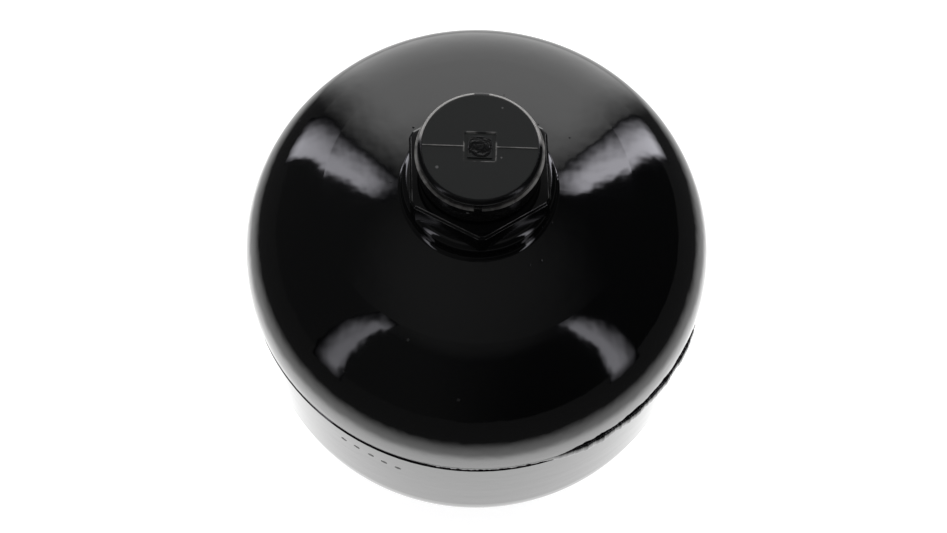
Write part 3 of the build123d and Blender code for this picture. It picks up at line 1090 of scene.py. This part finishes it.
class ACCUMULATOR_OT_caps(bpy.types.Operator):
    """Finish both plastic caps"""

    bl_idname = "accumulator.caps"
    bl_label = "Plastic caps"

    def execute(self, context):
        made = materials(context)
        dress("port_cap", made["cap"])
        dress("gas_cap", made["plastic"])
        scar = context.scene.accumulator.scar
        values = {
            "Width": scar.width,
            "Rise": scar.rise,
            "Roughness": scar.roughness,
            "Height": CAP_Z - RIB_H - scar.sunk,
            "Limit": CAP_Z,
            "Seed": float(scar.seed),
            "Material": made["plastic"],
        }
        mesh = grown_mesh(scar_tree(values), "gate_scar", values)
        new_object("gate_scar", mesh, "port_cap", "black_plastic")
        return {"FINISHED"}


class ACCUMULATOR_OT_gas_end(bpy.types.Operator):
    """Finish the gas boss and its charging screw"""

    bl_idname = "accumulator.gas_end"
    bl_label = "Gas end"

    def execute(self, context):
        made = materials(context)
        thread = context.scene.accumulator.thread
        root = BOSS_R - thread.gas_pitch * thread.depth_share
        top = BOSS_Z + BOSS_H
        lands = cut_back(((BOSS_R, BOSS_Z, top + MM, root),))
        end = top - thread.relief / 2
        black = made["fitting"]
        values = thread_values(BOSS_R, root, BOSS_Z + TIP, end, thread.gas_pitch, black)
        mesh = threaded_mesh("gas_boss", lands, (values,), black)
        new_object("gas_boss_threaded", mesh, "vessel", "gloss_black_paint", "gas_boss")
        dress("gas_boss_weld", made["bead"])
        dress("charging_screw", made["zinc"])
        dress("charging_seal", made["rubber"])
        return {"FINISHED"}


class ACCUMULATOR_OT_inside(bpy.types.Operator):
    """Finish the diaphragm, its button and the rings that hold it"""

    bl_idname = "accumulator.inside"
    bl_label = "Inside"

    def execute(self, context):
        made = materials(context)
        dress("diaphragm", made["rubber"])
        for node in ("valve_button", "backing_ring", "clamp_ring"):
            dress(node, made["steel"])
        return {"FINISHED"}


# Stage


def to_camera(tree):
    """Whether the camera sees the surface, straight or through something clear."""
    path = add_node(tree, "ShaderNodeLightPath")
    straight = Value(tree, path.outputs["Is Camera Ray"])
    return straight.math("MAXIMUM", path.outputs["Is Transmission Ray"])


def floor_material(stage):
    """Pale floor: white to the camera; reflections show a lit sheet with dark floor beyond it."""
    material = bpy.data.materials.new("Studio floor")
    tree = empty_tree(material)
    place = object_coords(tree)
    radius = norm(place)
    far = ramp(radius, 0.3, 0.9, stage.white_share, 1.0)
    shown = add_node(tree, "ShaderNodeEmission", {"Strength": to_camera(tree) * far})
    plain = add_node(tree, "ShaderNodeBsdfDiffuse", {"Color": (*stage.floor_colour, 1.0)})
    lit = add_node(tree, "ShaderNodeAddShader", {0: plain.outputs[0], 1: shown.outputs[0]})

    # Painted shade at the foot in the floor's reflection: darker in front of the object, lighter
    # behind it
    facing = split(place)[1] / radius
    shade = ramp(facing, -1.0, 0.6, 0.76, 1.25)
    foot = 1.0 + (shade - 1.0) * ramp(radius, 0.15, 0.105)
    near = ramp(radius, 0.15, 0.2, stage.near_floor, stage.near_floor * 0.48)
    fallen = 1.0 - ramp(radius, 0.19, 0.35)
    ragged = noise(place, 22.0, 3.0) * 0.03 + radius
    edge = ramp(ragged, stage.sheet_radius + 0.012, stage.sheet_radius + 0.018, 1.0, 0.0)
    behind = ramp(facing, 0.78, 0.92, stage.room_floor, stage.back_light)
    backdrop = behind * ramp(radius, 0.2, 0.3)
    sheet = (near * foot * (fallen * edge)).math("MAXIMUM", backdrop)
    mirrored = add_node(tree, "ShaderNodeEmission", {"Strength": sheet})

    glossy = add_node(tree, "ShaderNodeLightPath").outputs["Is Glossy Ray"]
    inputs = {0: glossy, 1: lit.outputs[0], 2: mirrored.outputs[0]}
    above = add_node(tree, "ShaderNodeMixShader", inputs)
    under = add_node(tree, "ShaderNodeNewGeometry").outputs["Backfacing"]
    clear = add_node(tree, "ShaderNodeBsdfTransparent")
    inputs = {0: under, 1: above.outputs[0], 2: clear.outputs[0]}
    one_sided = add_node(tree, "ShaderNodeMixShader", inputs)
    add_node(tree, "ShaderNodeOutputMaterial", {"Surface": one_sided.outputs[0]})
    return material


def flat_mesh(name, corners):
    """One rectangle."""
    mesh = bpy.data.meshes.new(name)
    mesh.from_pydata(corners, [], [(0, 1, 2, 3)])
    return mesh


def softbox_material(name, radiance):
    """Face of a softbox, whose light falls off towards its ends and slowly towards its rear."""
    material = bpy.data.materials.new(name)
    tree = empty_tree(material)
    x, y, _ = split(add_value(tree, "ShaderNodeTexCoord", "UV"))
    sides = ramp(x, 0.0, 0.2) * ramp(x, 1.0, 0.3)
    ends = ramp(y, 0.0, 0.12) * ramp(y, 1.0, 0.72)
    inputs = {"Color": LAMP_COLOUR, "Strength": sides * ends * radiance}
    glow = add_node(tree, "ShaderNodeEmission", inputs)
    add_node(tree, "ShaderNodeOutputMaterial", {"Surface": glow.outputs[0]})
    return material


def add_softbox(name, foot, head, width, radiance):
    """A tall softbox between two points, turned towards the Z axis."""
    foot, head = Vector(foot), Vector(head)
    middle = (foot + head) / 2
    side = (head - foot).cross(Vector((middle.x, middle.y, 0.0))).normalized() * (width / 2)
    if side.y < 0:
        side = -side
    mesh = flat_mesh(name, [foot - side, foot + side, head + side, head - side])
    uv = mesh.uv_layers.new(name="UVMap")
    for corner, place in zip(uv.data, ((0, 0), (1, 0), (1, 1), (0, 1))):
        corner.uv = place
    mesh.materials.append(softbox_material(name, radiance))
    box = add_object(name.lower().replace(" ", "_"), mesh)
    box.visible_camera = False
    box.visible_shadow = False


def add_top_lamp(name, height, size, radiance):
    """A large square lamp overhead, which isn't mirrored in the paint."""
    data = bpy.data.lights.new(name, "AREA")
    data.shape = "SQUARE"
    data.size = size
    data.energy = radiance * pi * size * size
    lamp = add_object(name, data)
    lamp.location = (0.0, 0.0, height)
    lamp.visible_camera = False
    lamp.visible_glossy = False


def on_wall(distance, azimuth, elevation):
    """Point on an upright cylinder round the object, in degrees from the front and the seam."""
    angle = radians(azimuth)
    height = SEAM_Z + distance * tan(radians(elevation))
    return (distance * sin(angle), -distance * cos(angle), height)


def camera_matrix(stage):
    """Place and turn of the camera from its elevation, roll and the pixel of the seam's middle."""
    up_angle = stage.camera_elevation
    away = Vector((0.0, -cos(up_angle), sin(up_angle)))
    right = Vector((1.0, 0.0, 0.0))
    base = Matrix((right, away.cross(right), away))
    across = atan2(stage.aim_x - PHOTO_W / 2, stage.camera_focal)
    down = atan2(stage.aim_y - PHOTO_H / 2, stage.camera_focal)
    rows = Matrix.Rotation(-down, 3, "X") @ Matrix.Rotation(-across, 3, "Y")
    rows = rows @ Matrix.Rotation(stage.camera_roll, 3, "Z") @ base
    place = Vector((0.0, 0.0, SEAM_Z)) + away * stage.camera_distance
    return Matrix.Translation(place) @ rows.transposed().to_4x4()


def world_tree(world, stage):
    """White to the camera; a dark room with a grey ceiling and a paler left side to the rest."""
    tree = empty_tree(world)
    x, y, z = split(add_value(tree, "ShaderNodeTexCoord", "Generated"))
    walls = ramp(x, -0.4, 0.4, stage.left_wall, stage.right_wall)
    ceiling = ramp(z, 0.82, 1.0, 0.0, stage.ceiling)
    behind = ramp(y / from_axis(x, y), 0.76, 0.93, 0.0, stage.back_light)
    paper = behind * ramp(z, 0.95, 0.6)
    room = (walls + ceiling).math("MAXIMUM", paper)
    inputs = {"Color": WHITE, "Strength": to_camera(tree).math("MAXIMUM", room)}
    glow = add_node(tree, "ShaderNodeBackground", inputs)
    add_node(tree, "ShaderNodeOutputWorld", {"Surface": glow.outputs[0]})


class ACCUMULATOR_OT_stage(bpy.types.Operator):
    """Set the floor, the lamps and the camera"""

    bl_idname = "accumulator.stage"
    bl_label = "Stage"

    def execute(self, context):
        scene = context.scene
        stage = scene.accumulator.stage
        half = stage.floor_size / 2
        down = -stage.floor_gap
        sides = ((-half, -half), (half, -half), (half, half), (-half, half))
        corners = [(x, y, down) for x, y in sides]
        mesh = flat_mesh("floor", corners)
        mesh.materials.append(floor_material(stage))
        floor = add_object("floor", mesh)

        for name, foot, head, radiance in STRIPS:
            foot = on_wall(stage.lamp_distance, *foot)
            head = on_wall(stage.lamp_distance, *head)
            add_softbox(name, foot, head, stage.strip_width, radiance)
        add_top_lamp("Soft top lamp", stage.top_height, stage.top_size, stage.top_light)

        scene.world = bpy.data.worlds.new("Studio")
        world_tree(scene.world, stage)

        data = bpy.data.cameras.new("Camera")
        data.sensor_width = SENSOR_W
        data.lens = stage.camera_focal / PHOTO_W * SENSOR_W
        data.clip_start = 0.01
        camera = add_object("Camera", data)
        camera.matrix_world = camera_matrix(stage)
        scene.camera = camera
        scene.view_settings.view_transform = "Standard"
        return {"FINISHED"}


PIECE_OPERATORS = (
    ACCUMULATOR_OT_shells,
    ACCUMULATOR_OT_girth_weld,
    ACCUMULATOR_OT_port,
    ACCUMULATOR_OT_nibs,
    ACCUMULATOR_OT_caps,
    ACCUMULATOR_OT_gas_end,
    ACCUMULATOR_OT_inside,
    ACCUMULATOR_OT_stage,
)


class ACCUMULATOR_PT_sidebar(bpy.types.Panel):
    """Lists the steps that dress the accumulator"""

    bl_idname = "ACCUMULATOR_PT_sidebar"
    bl_label = "Accumulator"
    bl_space_type = "VIEW_3D"
    bl_region_type = "UI"
    bl_category = "Accumulator"

    def draw(self, context):
        settings = context.scene.accumulator
        for part in PIECE_OPERATORS:
            self.layout.operator(part.bl_idname)
        for pointer in settings.bl_rna.properties:
            if pointer.type != "POINTER" or pointer.identifier == "rna_type":
                continue
            box = self.layout.box()
            group = getattr(settings, pointer.identifier)
            for prop in group.bl_rna.properties:
                if prop.identifier not in ("name", "rna_type"):
                    box.prop(group, prop.identifier)


CLASSES = (
    PaintSettings,
    PlasticSettings,
    MetalSettings,
    RubberSettings,
    WeldSettings,
    ThreadSettings,
    NibSettings,
    ScarSettings,
    StageSettings,
    AccumulatorSettings,
    *PIECE_OPERATORS,
    ACCUMULATOR_PT_sidebar,
)


def register():
    """Register every class and hang the settings on the scene."""
    for part in CLASSES:
        bpy.utils.register_class(part)
    bpy.types.Scene.accumulator = PointerProperty(type=AccumulatorSettings)


def unregister():
    """Undo register."""
    del bpy.types.Scene.accumulator
    for part in reversed(CLASSES):
        bpy.utils.unregister_class(part)


def main():
    """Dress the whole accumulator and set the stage."""
    register()
    for part in PIECE_OPERATORS:
        family, step = part.bl_idname.split(".")
        getattr(getattr(bpy.ops, family), step)()


if __name__ == "__main__":
    main()
